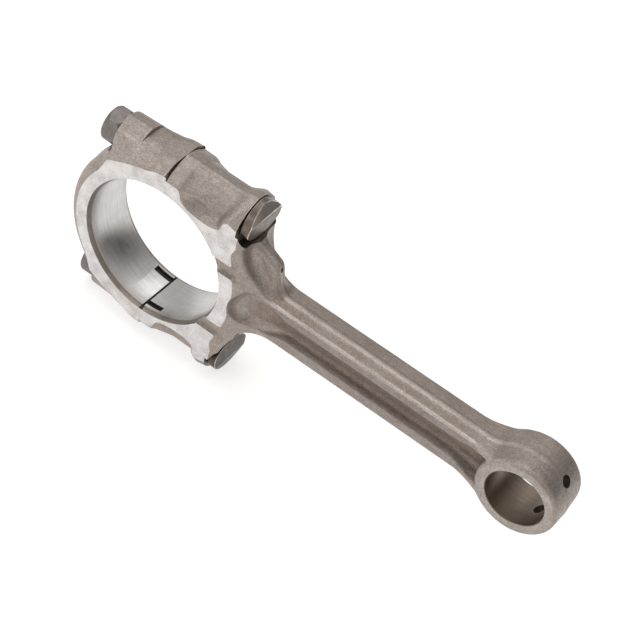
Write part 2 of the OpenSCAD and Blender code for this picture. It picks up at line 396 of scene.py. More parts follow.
def drill(name, start, end, r, segments=48):
    """A plain round cutter between two points."""
    start, way = Vector(start), Vector(end) - Vector(start)
    profile = [(0, 0), (r, 0), (r, way.length), (0, way.length)]
    obj = lathe(name, profile, (0, 0, 0), "x", segments)
    turn = Vector((1, 0, 0)).rotation_difference(way).to_matrix().to_4x4()
    obj.data.transform(Matrix.Translation(start) @ turn)
    return obj


def carve(obj, cutters, operation="DIFFERENCE"):
    """Applies one boolean after another and removes the cutters."""
    for cutter in cutters:
        m = obj.modifiers.new("carve", "BOOLEAN")
        m.object, m.operation, m.solver = cutter, operation, "MANIFOLD"
        bpy.context.view_layer.update()
        made = bpy.data.meshes.new_from_object(obj.evaluated_get(bpy.context.evaluated_depsgraph_get()))
        obj.modifiers.clear()
        old, obj.data = obj.data, made
        bpy.data.meshes.remove(old)
        bpy.data.objects.remove(cutter)
    return obj


def mirrored(cutters_for):
    """Cutters for the upper bolt (side = 1) and for the lower one (side = -1)."""
    return cutters_for(1) + cutters_for(-1)


def side_faces():
    """Cutters that grind the big end's side faces."""
    return [
        block("front", (-FAR, -FAR, -FAR), (FAR, -BIG_HALF_W, FAR)),
        block("back", (-FAR, BIG_HALF_W, -FAR), (FAR, FAR, FAR)),
    ]


def disc_cutter(name, r, y0, y1):
    """A round disc about the big end's axis."""
    return lathe(name, [(0, y0), (r, y0), (r, y1), (0, y1)], (0, 0, 0), "y", BORE_SEGMENTS)


def big_bore():
    """The big-end bore's cutter. A chamfer runs on past its face, so that no faces coincide there."""
    w, past, flare = BIG_HALF_W, 1, 0.4
    front_depth, back_depth, rise = 1.75, 1.3, 0.8
    mouth_r = BORE_R + rise
    profile = [
        (0, -w - past), (mouth_r + flare, -w - past), (mouth_r, -w), (BORE_R, -w + front_depth),
        (BORE_R, w - back_depth), (mouth_r, w), (mouth_r + flare, w + past), (0, w + past),
    ]
    return [lathe("bore", profile, (0, 0, 0), "y", BORE_SEGMENTS)]


def joint_gaps(x0, x1):
    """The relieved edges along the parting face: across the bore, and over the bosses' lugs."""
    bore_z, lug_z, end_z = 10, 31, 45
    made = []
    for side in (1, -1):
        disc = disc_cutter("gap", BORE_R + GAP_DEPTH, GAP_FROM_Y, GAP_TO_Y)
        low, high = sorted((side * bore_z, side * end_z))
        made.append(carve(disc, [block("window", (x0, -20, low), (x1, 20, high))], "INTERSECT"))
        low, high = sorted((side * lug_z, side * end_z))
        slab = block("lug_gap", (x0, -10, low), (x1, 10, high))
        middle = side * (JOINT_LUG_TOP - LUG_R)
        core = drill("core", (x0 - 1, 0, middle), (x1 + 1, 0, middle), LUG_R - LUG_GAP, ROUND_SEGMENTS)
        made.append(carve(slab, [core]))
    return made


def head_seat(side):
    """The milled seat under a bolt head: round, with a straight step beside the head's flatter side."""
    r = SEAT_CORNER_R
    reach, drop = HEAD_CUT_R - r, SEAT_STEP - r
    corner_y = math.sqrt(reach ** 2 - drop ** 2)
    corner_a = math.atan2(-drop, corner_y)
    outline = []
    for centre_y, centre_z, radius, a0, a1 in (
        (0, 0, HEAD_CUT_R, corner_a, math.pi - corner_a),
        (-corner_y, -drop, r, math.pi - corner_a, 1.5 * math.pi),
        (corner_y, -drop, r, -0.5 * math.pi, corner_a),
    ):
        steps = max(8, round(40 * (a1 - a0)))
        for i in range(steps):
            a = a0 + (a1 - a0) * i / steps
            z = BOLT_Z + centre_z + radius * math.sin(a)
            outline.append((centre_y + radius * math.cos(a), side * z))
    n = len(outline)
    verts = [(x, *point) for x in (HEAD_SEAT_X, FAR) for point in outline]
    faces = [(i, (i + 1) % n, n + (i + 1) % n, n + i) for i in range(n)]
    faces += [tuple(range(n)), tuple(range(n, 2 * n))]
    obj = new_object("head_seat", verts, faces)
    clean(obj.data)
    return obj


def tang_slot(y0, y1, x0, x1):
    """A slot for a bearing shell's tang, on the lower joint, with a round floor."""
    disc = disc_cutter("slot", BORE_R + TANG_DEPTH, y0, y1)
    return [carve(disc, [block("window", (x0, -20, -40), (x1, 20, -10))], "INTERSECT")]


def eye_cuts():
    """Cutters for the small end's side faces and its bore, with the bore's two chamfers."""
    w, past = EYE_HALF_W, 1
    from_x, to_x, far = 118, 180, 30
    mouth_r = PIN_R + PIN_CHAMFER
    profile = [
        (0, -w - past), (mouth_r + past, -w - past), (mouth_r, -w), (PIN_R, -w + PIN_CHAMFER),
        (PIN_R, w - PIN_CHAMFER), (mouth_r, w), (mouth_r + past, w + past), (0, w + past),
    ]
    return [
        block("eye_front", (from_x, -far, -far), (to_x, -w, far)),
        block("eye_back", (from_x, w, -far), (to_x, far, far)),
        lathe("pin", profile, (EYE_X, 0, 0), "y", ROUND_SEGMENTS),
    ]


def rod_bolt_cuts(side):
    """The rod's cutters on one side: the bolt's hole and seat, and the eye's oil hole."""
    z = side * BOLT_Z
    ray = Vector((math.cos(OIL_HOLE_ANGLE), 0, side * math.sin(OIL_HOLE_ANGLE)))
    pin = Vector((EYE_X, 0, 0))
    return [
        drill("bolt_hole", (-5, 0, z), (40, 0, z), BOLT_R, BOLT_SEGMENTS),
        head_seat(side),
        drill("oil_hole", pin + ray * (PIN_R - 2), pin + ray * 20, OIL_HOLE_R),
    ]


def squirt_hole():
    """The oil squirt hole's cutter, from inside the big-end bore to beyond its exit."""
    direction = Vector((math.cos(SQUIRT_ANGLE), 0, math.sin(SQUIRT_ANGLE)))
    exit_point = Vector(SQUIRT_EXIT)
    return [drill("squirt", exit_point - direction * 26, exit_point + direction * 4, SQUIRT_R, 32)]


def make_rod():
    """The rod forging with everything that is machined on it."""
    low, high = (-2, -12, -43), (EYE_X + EYE_R + 0.6, 12, 43)
    rod = field_object("rod", rod_field, low, high, ROD_GRID)
    cutters = [block("joint", (-10, -30, -FAR), (0, 30, FAR))] + side_faces() + big_bore() + eye_cuts()
    cutters += mirrored(rod_bolt_cuts) + tang_slot(-8.0, -5.8, -1, 6.7) + joint_gaps(-1, JOINT_GAP)
    return carve(rod, cutters + squirt_hole())


def cap_bolt_cuts(side):
    """The cap's cutters on one side: the bolt's hole and the nut's seat."""
    z = side * BOLT_Z
    return [
        drill("bolt_hole", (-40, 0, z), (5, 0, z), CAP_HOLE_R, BOLT_SEGMENTS),
        drill("nut_seat", (NUT_SEAT_X, 0, z), (-FAR, 0, z), NUT_CUT_R, 128),
    ]


def make_cap():
    """The bearing cap: flat bosses over the pads, and beyond them the bosses' full height."""
    low, high = (-CAP_RING_R - 0.5, -12, -43), (2, 12, 43)
    cap = field_object("cap", padded_cap_field, low, high, CAP_GRID)
    full = field_object("full", cap_field, low, high, CAP_GRID)
    carve(full, [block("split", (-CAP_PAD_LEN, -FAR, -FAR), (FAR, FAR, FAR))])
    carve(cap, [full], "UNION")
    cutters = [block("joint", (0, -30, -FAR), (10, 30, FAR))] + side_faces() + big_bore()
    cutters += mirrored(cap_bolt_cuts) + tang_slot(6.3, 8.9, -8.0, 1) + joint_gaps(-JOINT_GAP, 1)
    return carve(cap, cutters)


# ---- bolts and nuts, made on the X axis and then moved to their bolt's height ----
PITCH = 1.0
THREAD_FROM_X = -17.0
THREAD_ROOT_R = 3.4
TIP_CHAMFER = 0.7
BOW_R = 12.0             # the head's flatter side
BOW_TURN = math.radians(3)
HEAD_RIM_R = 0.4
HEAD_PROUD = 0.15        # how far the ridge across the head stands past the CAD head's end
HEAD_UNDERCUT = 0.6
RIDGE_Z = 3.2            # from the bolt's axis to the ridge
NUT_HALF_AF = 6.5        # half the nut's size across flats
NUT_TURN = math.radians(11)
WASHER_T = 0.5
TAP_R = 3.3              # the hole that the nut's thread is cut in


def threaded_rod(name, x0, x1, crest_r, root_r, tip_chamfer=0.0):
    """A closed right-hand thread from x0 to x1; it fades into a plain rod at x1."""
    per_pitch, segments = 8, 40
    rows = int(round((x1 - x0) / PITCH * per_pitch)) + 1
    verts, faces = [], []
    for i in range(rows):
        x = x0 + (x1 - x0) * i / (rows - 1)
        fade = min(1, (x1 - x) / PITCH)
        limit = crest_r - max(0, tip_chamfer - (x - x0)) if tip_chamfer else crest_r
        for k in range(segments):
            turn = (x / PITCH - k / segments) % 1
            # 1 along the crest and 0 along the root, each a little flat
            crest = max(0, min(1, 2.4 * abs(turn - 0.5) - 0.1))
            r = min(limit, crest_r - (crest_r - root_r) * fade * (1 - crest))
            a = 2 * math.pi * k / segments
            verts.append((x, r * math.cos(a), r * math.sin(a)))
    for i in range(rows - 1):
        for k in range(segments):
            j = (k + 1) % segments
            this, following = i * segments, (i + 1) * segments
            faces.append((this + k, this + j, following + j, following + k))
    faces.append(tuple(reversed(range(segments))))
    faces.append(tuple((rows - 1) * segments + k for k in range(segments)))
    obj = new_object(name, verts, faces)
    clean(obj.data)
    return obj


def head_field(x, y, z):
    """The D-shaped head: a low roof with its ridge across, and one side on a flatter bow."""
    far_fall, near_fall, collar_r = 0.2, 0.08, 6.0
    roof = x - HEAD_END_X - HEAD_PROUD + far_fall * np.maximum(z - RIDGE_Z, 0)
    roof = roof + near_fall * np.maximum(RIDGE_Z - z, 0)
    side = np.hypot(y, z) - HEAD_R
    bow_y, bow_z = BOW_R / 2 * math.sin(BOW_TURN), BOW_R / 2 * math.cos(BOW_TURN)
    bow = np.hypot(y - bow_y, z - bow_z) - BOW_R
    # A rubbed flat on the round side, 0.6 mm inside it
    far_side = y * 0.645 + z * 0.764 - HEAD_R + 0.6
    outline = common(common(side, far_side, 2), bow, 0.6)
    body = common(common(outline, roof, HEAD_RIM_R), HEAD_SEAT_X + HEAD_UNDERCUT - x, 0.2)
    collar = np.maximum(np.hypot(y, z) - collar_r, np.maximum(HEAD_SEAT_X - x, x - HEAD_SEAT_X - 1))
    return union(body, collar, 0.1)


def make_bolt(name):
    """A bolt on the X axis: its head, its plain shank and its thread."""
    head = field_object(name, head_field, (HEAD_SEAT_X, -10, -10), (HEAD_END_X + 0.3, 10, 10), HEAD_GRID)
    shank = drill("shank", (THREAD_FROM_X - 0.4, 0, 0), (HEAD_SEAT_X + 1, 0, 0), BOLT_R, BOLT_SEGMENTS)
    thread = threaded_rod("thread", BOLT_TIP_X, THREAD_FROM_X, BOLT_R - 0.02, THREAD_ROOT_R, TIP_CHAMFER)
    return carve(head, [shank, thread], "UNION")


def nut_field(x, y, z):
    """A hexagon nut with a washer face and chamfered corners, more so at its outer end."""
    c, s = math.cos(NUT_TURN), math.sin(NUT_TURN)
    u, v = y * c + z * s, z * c - y * s
    sides = abs(v)
    for turn in (60, 120):
        a = math.radians(turn)
        pair = abs(v * math.cos(a) + u * math.sin(a))
        sides = common(sides - NUT_HALF_AF, pair - NUT_HALF_AF, 0.25) + NUT_HALF_AF
    r = np.hypot(y, z)
    long = NUT_SEAT_X - WASHER_T - NUT_END_X
    middle = NUT_END_X + long / 2
    body = common(sides - NUT_HALF_AF, abs(x - middle) - long / 2, 0.2)
    # Cones that lean 30 degrees from the axis take the corners off both ends
    outer = 0.87 * (r - NUT_HALF_AF + 0.1) - 0.5 * (x - NUT_END_X)
    inner = 0.87 * (r - NUT_HALF_AF - 0.25) - 0.5 * (NUT_SEAT_X - WASHER_T - x)
    body = common(common(body, outer, 0.15), inner, 0.15)
    washer = common(r - NUT_HALF_AF + 0.15, abs(x - NUT_SEAT_X + 1) - 1, 0.1)
    return union(body, washer, 0.1)


def make_nut(name):
    """A nut on the X axis, with a countersink at each end of its thread."""
    nut = field_object(name, nut_field, (NUT_END_X, -8, -8), (NUT_SEAT_X, 8, 8), NUT_GRID)
    past, sink_depth = 1, 1.2
    outer_r, inner_r = BOLT_R + 0.5, BOLT_R + 0.4
    profile = [
        (0, NUT_END_X - past), (outer_r + past, NUT_END_X - past), (outer_r, NUT_END_X),
        (TAP_R, NUT_END_X + sink_depth), (TAP_R, NUT_SEAT_X - sink_depth),
        (inner_r, NUT_SEAT_X), (inner_r, NUT_SEAT_X + past), (0, NUT_SEAT_X + past),
    ]
    mouth = lathe("mouth", profile, (0, 0, 0), "x", BOLT_SEGMENTS)
    thread = threaded_rod("tap", NUT_END_X - 2, NUT_SEAT_X + 3, BOLT_R + 0.05, THREAD_ROOT_R + 0.07)
    return carve(nut, [mouth, thread])


def placed(obj, side):
    """Moves a bolt or nut from the X axis to its place; the lower one is turned over."""
    if side < 0:
        obj.data.transform(Matrix.Rotation(math.pi, 4, "X"))
    obj.data.transform(Matrix.Translation((0, 0, side * BOLT_Z)))
    return obj


rod = make_rod()
cap = make_cap()
upper_bolt = placed(make_bolt("upper_rod_bolt"), 1)
lower_bolt = placed(make_bolt("lower_rod_bolt"), -1)
upper_nut = placed(make_nut("upper_hex_nut"), 1)
lower_nut = placed(make_nut("lower_hex_nut"), -1)


# ---- materials: every pattern is in object space ----

# Sockets of a Mix node that mixes colours
MIX_FACTOR, MIX_A, MIX_B, MIX_RESULT = 0, 6, 7, 2


def scaled(colour, factor):
    """A colour made brighter or darker."""
    return [factor * part for part in colour]


class Look:
    """One node material. Most methods add nodes and give the socket of their result."""

    def __init__(self, name):
        self.material = bpy.data.materials.new(name)
        self.material.use_nodes = True
        self.tree = self.material.node_tree
        self.shader = self.tree.nodes["Principled BSDF"]
        self.place = self.tree.nodes.new("ShaderNodeTexCoord").outputs["Object"]
        self.normal = None

    def node(self, kind, inputs=None, **settings):
        node = self.tree.nodes.new(kind)
        for key, value in settings.items():
            setattr(node, key, value)
        for key, value in (inputs or {}).items():
            if hasattr(value, "is_output"):
                self.tree.links.new(value, node.inputs[key])
            else:
                node.inputs[key].default_value = value
        return node

    def stretched(self, factors):
        """Object coordinates in millimetres, stretched by one factor for each axis."""
        scale = [f / MM for f in factors]
        return self.node("ShaderNodeMapping", {"Vector": self.place, "Scale": scale}).outputs["Vector"]

    def noise(self, size_mm, detail=3.0, rough=0.55, factors=(1, 1, 1)):
        """Noise with grains of one size; an axis with a factor below 1 gets longer ones."""
        where = self.stretched([f / size_mm for f in factors])
        inputs = {"Vector": where, "Scale": 1.0, "Detail": detail, "Roughness": rough}
        return self.node("ShaderNodeTexNoise", inputs).outputs["Fac"]

    def cells(self, size_mm):
        """Rounded pits of one size."""
        where = self.stretched([1 / size_mm] * 3)
        made = self.node("ShaderNodeTexVoronoi", {"Vector": where, "Scale": 1.0}, feature="SMOOTH_F1")
        return made.outputs["Distance"]

    def span(self, value, low, high, to_low=0.0, to_high=1.0):
        """The range low to high, taken to another range and held at its ends."""
        inputs = {"Value": value, "From Min": low, "From Max": high, "To Min": to_low, "To Max": to_high}
        return self.node("ShaderNodeMapRange", inputs).outputs["Result"]

    def axes(self):
        """Object coordinates in millimetres, each as its own socket."""
        return self.node("ShaderNodeSeparateXYZ", {"Vector": self.stretched([1, 1, 1])}).outputs

    def facing_x(self):
        """How far the surface faces along X, from -1 to 1."""
        normal = self.tree.nodes.new("ShaderNodeTexCoord").outputs["Normal"]
        return self.node("ShaderNodeSeparateXYZ", {"Vector": normal}).outputs["X"]

    def size_of(self, value):
        return self.math("ABSOLUTE", value, 0.0)

    def band(self, value, centre, half_w, soft):
        """1 where a value is within half_w of the centre, fading to 0 over a soft edge."""
        away = self.size_of(self.math("SUBTRACT", value, centre))
        return self.span(away, half_w, half_w + soft, 1.0, 0.0)

    def product(self, *factors):
        """The product of masks and numbers: where all the masks hold, at the numbers' strength."""
        made = factors[0]
        for factor in factors[1:]:
            made = self.math("MULTIPLY", made, factor)
        return made

    def math(self, operation, a, b):
        return self.node("ShaderNodeMath", {0: a, 1: b}, operation=operation).outputs["Value"]

    def blend(self, factor, a, b, mode="MIX"):
        """Colour a turning into colour b as the factor rises."""
        made = self.node("ShaderNodeMix", data_type="RGBA", blend_type=mode)
        for key, value in ((MIX_FACTOR, factor), (MIX_A, a), (MIX_B, b)):
            if hasattr(value, "is_output"):
                self.tree.links.new(value, made.inputs[key])
            else:
                made.inputs[key].default_value = value if key == MIX_FACTOR else (*value, 1)
        return made.outputs[MIX_RESULT]

    def edge_wear_and_hollow_shade(self, low, high):
        """0 to 1 as the pointiness goes from low to high; a flat face has 0.5, and hollows have less. A
        rising range finds rubbed edges; a falling one finds hollows, which get painted shade.
        """
        point = self.node("ShaderNodeNewGeometry").outputs["Pointiness"]
        return self.span(point, low, high)

    def bump(self, height, depth_mm, strength=1.0):
        """Adds a relief to the ones that the look already has."""
        inputs = {"Height": height, "Distance": depth_mm * MM, "Strength": strength}
        if self.normal is not None:
            inputs["Normal"] = self.normal
        self.normal = self.node("ShaderNodeBump", inputs).outputs["Normal"]

    def finish(self, colour, roughness, metallic):
        """Ties everything to the shader and gives the finished material."""
        links = self.tree.links
        links.new(colour, self.shader.inputs["Base Color"])
        links.new(roughness, self.shader.inputs["Roughness"])
        self.shader.inputs["Metallic"].default_value = metallic
        if self.normal is not None:
            links.new(self.normal, self.shader.inputs["Normal"])
        return self.material


def beam_shade_and_highlights(look, colour, light, patches):
    """Painted shade along the beam darkens a browner pocket, greyer flange sides and the top; the
    flange's near edge is lighter, partly rubbed and partly a painted highlight; the trimmed flash is
    lighter, with a painted highlight on its ridge.
    """
    x, y, z = look.axes()
    out, up = look.size_of(y), look.size_of(z)
    along = look.band(x, 89, 40, 8)
    pocket_x, flash_x = look.band(x, 88, 46, 6), look.band(x, 92, 48, 10)
    pocket_shade = look.product(pocket_x, look.span(out, 5.6, 4.4), look.band(up, 0, 3.2, 1.6))
    top = look.product(along, look.span(up, 8.0, 8.4))
    side = look.product(along, look.span(out, 6.0, 6.3), look.band(up, 6.3, 1.7, 0.5))
    edge = look.product(along, look.band(out, 6.1, 0.25, 0.5), look.band(up, 8.35, 0.35, 0.5), patches)
    trimmed = look.product(look.band(y, PARTING_Y, 0.75, 0.5), flash_x, look.span(up, 7.8, 8.2))
    # Painted shade: the pocket is darkened and browned, the flanges' near sides darkened and greyed, and
    # the beam's top darkened
    colour = look.blend(look.product(pocket_shade, 0.8), colour, (0.68, 0.60, 0.55), "MULTIPLY")
    colour = look.blend(look.product(side, 0.8), colour, (0.80, 0.79, 0.80), "MULTIPLY")
    colour = look.blend(top, colour, (0.91, 0.885, 0.865), "MULTIPLY")
    # Lighter in patches along the flange's near top edge: partly rubbed metal, partly a painted highlight
    colour = look.blend(look.product(edge, 0.75), colour, scaled(light, 1.35))
    # Lighter along the trimmed flash: trimmed metal, with a painted highlight on its ridge
    return look.blend(look.product(trimmed, patches, 0.6), colour, scaled(light, 1.25))


def forged_steel(name, dark, mid, light, rough=0.5):
    """Shot-blasted forging: blotchy scale stains, a peened grain, lighter rubbed edges, painted shade in
    the hollows, and the beam's painted shade and highlights.
    """
    look = Look(name)
    stains = look.span(look.noise(11, 4, 0.6), 0.36, 0.66)
    mottle = look.span(look.noise(1.5, 3, 0.6), 0.3, 0.72)
    grain = look.span(look.noise(0.38, 2, 0.6), 0.28, 0.72)
    colour = look.blend(stains, dark, mid)
    colour = look.blend(look.product(mottle, 0.4), colour, light)
    edges, hollows = look.edge_wear_and_hollow_shade(0.515, 0.56), look.edge_wear_and_hollow_shade(0.49, 0.45)
    colour = look.blend(look.product(edges, 0.25), colour, scaled(light, 1.35))
    # Painted shade: the hollows are darkened towards a deep brown
    colour = look.blend(look.product(hollows, 0.75), colour, scaled(dark, 0.42))
    patches = look.span(look.noise(4, 3, 0.6, (0.35, 1, 1)), 0.3, 0.6, 0.35, 1.0)
    # Painted shade and painted highlights along the beam
    colour = beam_shade_and_highlights(look, colour, light, patches)
    peened = look.blend(grain, (0.5, 0.48, 0.46), (1.12, 1.12, 1.12))
    colour = look.blend(0.85, colour, peened, "MULTIPLY")
    look.bump(look.noise(1.6, 3, 0.5), 0.10)
    look.bump(look.cells(0.5), 0.08, 0.8)
    look.bump(look.noise(0.22, 2, 0.7), 0.05, 0.8)
    return look.finish(colour, look.span(mottle, 0, 1, rough + 0.06, rough - 0.06), 0.85)


def ground_steel(name):
    """A ground side face: pale, with fine straight grinding lines, clouds and small pits."""
    look = Look(name)
    lines = look.noise(0.16, 3, 0.65, (0.05, 1, 1))
    clouds = look.span(look.noise(5, 4, 0.6), 0.3, 0.7)
    speckle = look.span(look.noise(0.45, 3, 0.65), 0.35, 0.7)
    pits = look.span(look.noise(0.9, 2, 0.5), 0.66, 0.74)
    colour = look.blend(clouds, (0.42, 0.39, 0.375), (0.66, 0.635, 0.62))
    colour = look.blend(look.product(speckle, 0.5), colour, (0.80, 0.775, 0.76))
    colour = look.blend(look.product(pits, 0.6), colour, (0.25, 0.22, 0.20))
    look.bump(lines, 0.014, 0.8)
    look.bump(look.noise(0.4, 2, 0.6), 0.016, 0.6)
    return look.finish(colour, look.span(clouds, 0, 1, 0.42, 0.34), 1.0)


def honed_bore(name, tint, rough):
    """A honed bore: bright, with hone marks round it and faint streaks along it."""
    look = Look(name)
    rings = look.noise(0.5, 4, 0.65, (0.06, 1, 0.06))
    streaks = look.noise(1.1, 3, 0.6, (1, 0.04, 1))
    clouds = look.span(look.noise(6, 3, 0.55), 0.3, 0.7)
    dull, bright = scaled(tint, 0.56), scaled(tint, 0.76)
    colour = look.blend(look.span(rings, 0.32, 0.66), dull, bright)
    scratches = look.span(streaks, 0.4, 0.7)
    colour = look.blend(look.product(scratches, 0.3), colour, scaled(tint, 0.5))
    colour = look.blend(look.product(clouds, 0.3), colour, scaled(tint, 0.64))
    look.bump(rings, 0.012, 0.8)
    look.bump(streaks, 0.006, 0.5)
    return look.finish(colour, look.span(clouds, 0, 1, rough - 0.04, rough + 0.05), 1.0)


def turned_steel(name, colour_low, colour_high, rough=0.42, metallic=0.95):
    """A turned or milled cut: fine tool marks and slight stains."""
    look = Look(name)
    marks = look.noise(0.22, 3, 0.6)
    clouds = look.span(look.noise(3, 3, 0.6), 0.3, 0.7)
    colour = look.blend(clouds, colour_low, colour_high)
    look.bump(marks, 0.015, 0.6)
    return look.finish(colour, look.span(marks, 0.3, 0.7, rough - 0.05, rough + 0.08), metallic)


def head_shade_and_highlights(look, colour, dark, edge, patches):
    """On a bolt's head: the far facet is darkened with painted shade, and the rim and the ridge get
    painted highlights in patches.
    """
    x, y, z = look.axes()
    on_head = look.span(x, HEAD_SEAT_X + 1.0, HEAD_SEAT_X + 1.3)
    facing = look.facing_x()
    on_roof = look.product(on_head, look.span(facing, 0.93, 0.97))
    up, ridge_z = look.size_of(z), BOLT_Z + RIDGE_Z
    past_ridge, on_ridge = look.span(up, ridge_z - 0.1, ridge_z + 0.2), look.band(up, ridge_z, 0.14, 0.22)
    far_facet_shade = look.product(on_roof, past_ridge, look.span(y, -7, -2))
    ridge = look.product(on_roof, on_ridge, look.span(y, -5, 3, 0.1, 1.0), patches)
    rim = look.product(on_head, look.band(facing, 0.6, 0.22, 0.1), patches)
    # Painted shade: the facet past the ridge is darkened
    colour = look.blend(far_facet_shade, colour, scaled(dark, 0.55))
    # Painted highlights, in patches, along the ridge and round the rim
    colour = look.blend(ridge, colour, edge)
    return look.blend(rim, colour, edge)


def phosphated(name, dark, light, edge):
    """Dark phosphate and oil on the bolts and nuts, rubbed bright along the edges, with painted shade and
    painted highlights on a bolt's head.
    """
    look = Look(name)
    clouds = look.span(look.noise(2.2, 4, 0.6), 0.3, 0.72)
    specks = look.span(look.noise(0.3, 2, 0.6), 0.3, 0.7)
    colour = look.blend(clouds, dark, light)
    colour = look.blend(look.product(specks, 0.35), colour, scaled(dark, 0.6))
    colour = look.blend(look.product(look.edge_wear_and_hollow_shade(0.52, 0.56), 0.5), colour, edge)
    patches = look.span(look.noise(2.5, 3, 0.6), 0.35, 0.6, 0.25, 1.0)
    # Painted shade and painted highlights on a bolt's head
    colour = head_shade_and_highlights(look, colour, dark, edge, patches)
    look.bump(look.noise(0.8, 3, 0.55), 0.05, 0.6)
    look.bump(look.noise(0.18, 2, 0.6), 0.02, 0.7)
    return look.finish(colour, look.span(clouds, 0, 1, 0.42, 0.32), 0.9)


# The forgings' material slots, in the order of their looks below
FORGED, GROUND, BORE, CHAMFER, MILLED, SHADED_HOLE, PIN, FACED = range(8)
forging_looks = [
    forged_steel("forged_steel", (0.33, 0.28, 0.245), (0.41, 0.362, 0.325), (0.53, 0.482, 0.447)),
    ground_steel("ground_steel"),
    honed_bore("honed_bore", (0.90, 0.87, 0.85), 0.33),
    turned_steel("turned_chamfer", (0.25, 0.215, 0.19), (0.34, 0.30, 0.27)),
    turned_steel("milled_seat", (0.16, 0.14, 0.125), (0.26, 0.235, 0.215)),
    # Near black: painted shade for the holes, the joint's relief and the tang slots
    turned_steel("shaded_hole", (0.035, 0.028, 0.022), (0.07, 0.055, 0.045), 0.6, 0.5),
    honed_bore("pin_bore", (0.39, 0.315, 0.25), 0.42),
    forged_steel("faced_steel", (0.36, 0.315, 0.285), (0.43, 0.385, 0.355), (0.53, 0.49, 0.455), 0.45),
]
bolt_look = phosphated("bolt_steel", (0.13, 0.103, 0.086), (0.21, 0.17, 0.145), (0.75, 0.71, 0.67))
# The lower bolt's look is a darker copy of the bolt's: painted shade
shaded_bolt_look = phosphated(
    "shaded_bolt_steel", (0.065, 0.055, 0.048), (0.115, 0.098, 0.087), (0.55, 0.51, 0.47))
nut_look = phosphated("nut_steel", (0.172, 0.152, 0.146), (0.25, 0.224, 0.214), (0.44, 0.41, 0.39))


def faces_of(mesh):
    """Centres in millimetres and normals of a mesh's faces."""
    centres = np.zeros(len(mesh.polygons) * 3)
    normals = np.zeros(len(mesh.polygons) * 3)
    mesh.polygons.foreach_get("center", centres)
    mesh.polygons.foreach_get("normal", normals)
    return centres.reshape(-1, 3) / MM, normals.reshape(-1, 3)


def radial_to(c, n, centre_x):
    """How far each face looks along the radius from a centre on the X axis."""
    dx, dz = c[:, 0] - centre_x, c[:, 2]
    return abs(n[:, 0] * dx + n[:, 2] * dz) / np.maximum(np.hypot(dx, dz), 1)


def paint_forging(obj):
    """Gives each machined face its own look; what no tool has cut stays as forged."""
    # A distance in millimetres, and how far a face must look along an axis to be square or level to it
    near, square, level = 0.01, 0.99, 0.2
    mesh = obj.data
    for look in forging_looks:
        mesh.materials.append(look)
    c, n = faces_of(mesh)
    x, y, z = c.T
    out, up = abs(y), abs(z)
    facing_x, facing_y = abs(n[:, 0]), abs(n[:, 1])
    big_r, pin_r = np.hypot(x, z), np.hypot(x - EYE_X, z)
    radial = radial_to(c, n, 0)
    to_bolt = np.hypot(y, up - BOLT_Z)
    slot = np.full(len(c), FORGED)

    on_joint = (abs(x) < near) & (facing_x > square)
    slot[on_joint] = GROUND
    slot[(facing_y > square) & (abs(out - BIG_HALF_W) < near) & (x < 60)] = GROUND
    slot[(facing_y > square) & (abs(out - EYE_HALF_W) < near) & (x > 120)] = FACED

    slot[(big_r < BORE_R + 0.05) & (radial > square)] = BORE
    sloping = (radial > level) & (facing_y > level)
    slot[(big_r > BORE_R) & (big_r < BORE_R + 1.0) & (out > 9) & sloping] = CHAMFER
    in_slot = (big_r > BORE_R + 0.1) & (big_r < BORE_R + TANG_DEPTH + 0.05)
    # Painted shade: the tang slot's floor is near black
    slot[in_slot & (out < 9.2) & (z < -10) & (abs(x) < 9)] = SHADED_HOLE
    slot[(pin_r < PIN_R + PIN_CHAMFER + 0.02) & (facing_y < square)] = PIN

    in_gap = (abs(x) < JOINT_GAP + near) & ~on_joint
    over_bore = (big_r > BORE_R + 0.05) & (big_r < BORE_R + 1) & (out < GAP_TO_Y)
    past_core = np.hypot(y, up - JOINT_LUG_TOP + LUG_R) > LUG_R - LUG_GAP - 0.05
    # Painted shade along the joint's relief
    slot[in_gap & over_bore] = SHADED_HOLE
    slot[in_gap & past_core & (facing_y < square)] = SHADED_HOLE

    in_seat = (x > HEAD_SEAT_X) & (to_bolt < HEAD_CUT_R + 0.03) & (facing_x < near)
    slot[in_seat & (up - BOLT_Z > -SEAT_STEP - 0.01)] = MILLED
    seat = (abs(x - HEAD_SEAT_X) < near) | (abs(x - NUT_SEAT_X) < near)
    slot[seat & (facing_x > square)] = MILLED
    slot[(abs(to_bolt - NUT_CUT_R) < 0.03) & (x < NUT_SEAT_X) & (facing_x < level)] = MILLED
    # Painted shade in the bolt holes
    slot[(to_bolt < BOLT_R + 0.15) & (facing_x < level) & (x < HEAD_SEAT_X)] = SHADED_HOLE

    in_eye_wall = (out < OIL_HOLE_R + 0.05) & (pin_r > PIN_R + 0.05) & (pin_r < EYE_R + 0.5)
    off_ray = abs(up - (x - EYE_X)) / math.sqrt(2)
    in_hole = (off_ray < OIL_HOLE_R + near) & (radial_to(c, n, EYE_X) < 0.5)
    # Painted shade in the oil hole
    slot[in_eye_wall & (x > EYE_X) & in_hole] = SHADED_HOLE
    mesh.polygons.foreach_set("material_index", slot)


# ---- the finished pieces ----
SHARP_ANGLE = math.radians(32)


def smooth(obj):
    """Smooth shading, with sharp edges kept where faces meet at a clear angle."""
    mesh = obj.data
    mesh.polygons.foreach_set("use_smooth", [True] * len(mesh.polygons))
    mesh.set_sharp_from_angle(angle=SHARP_ANGLE)


def install(obj, look, body, node):
    """Scales a piece to metres, dresses it and ties it to its body. No look means a forging's looks."""
    obj.data.transform(Matrix.Scale(MM, 4))
    obj.data.materials.clear()
    if look is None:
        paint_forging(obj)
    else:
        obj.data.materials.append(look)
    smooth(obj)
    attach(obj, body)
    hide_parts(node)


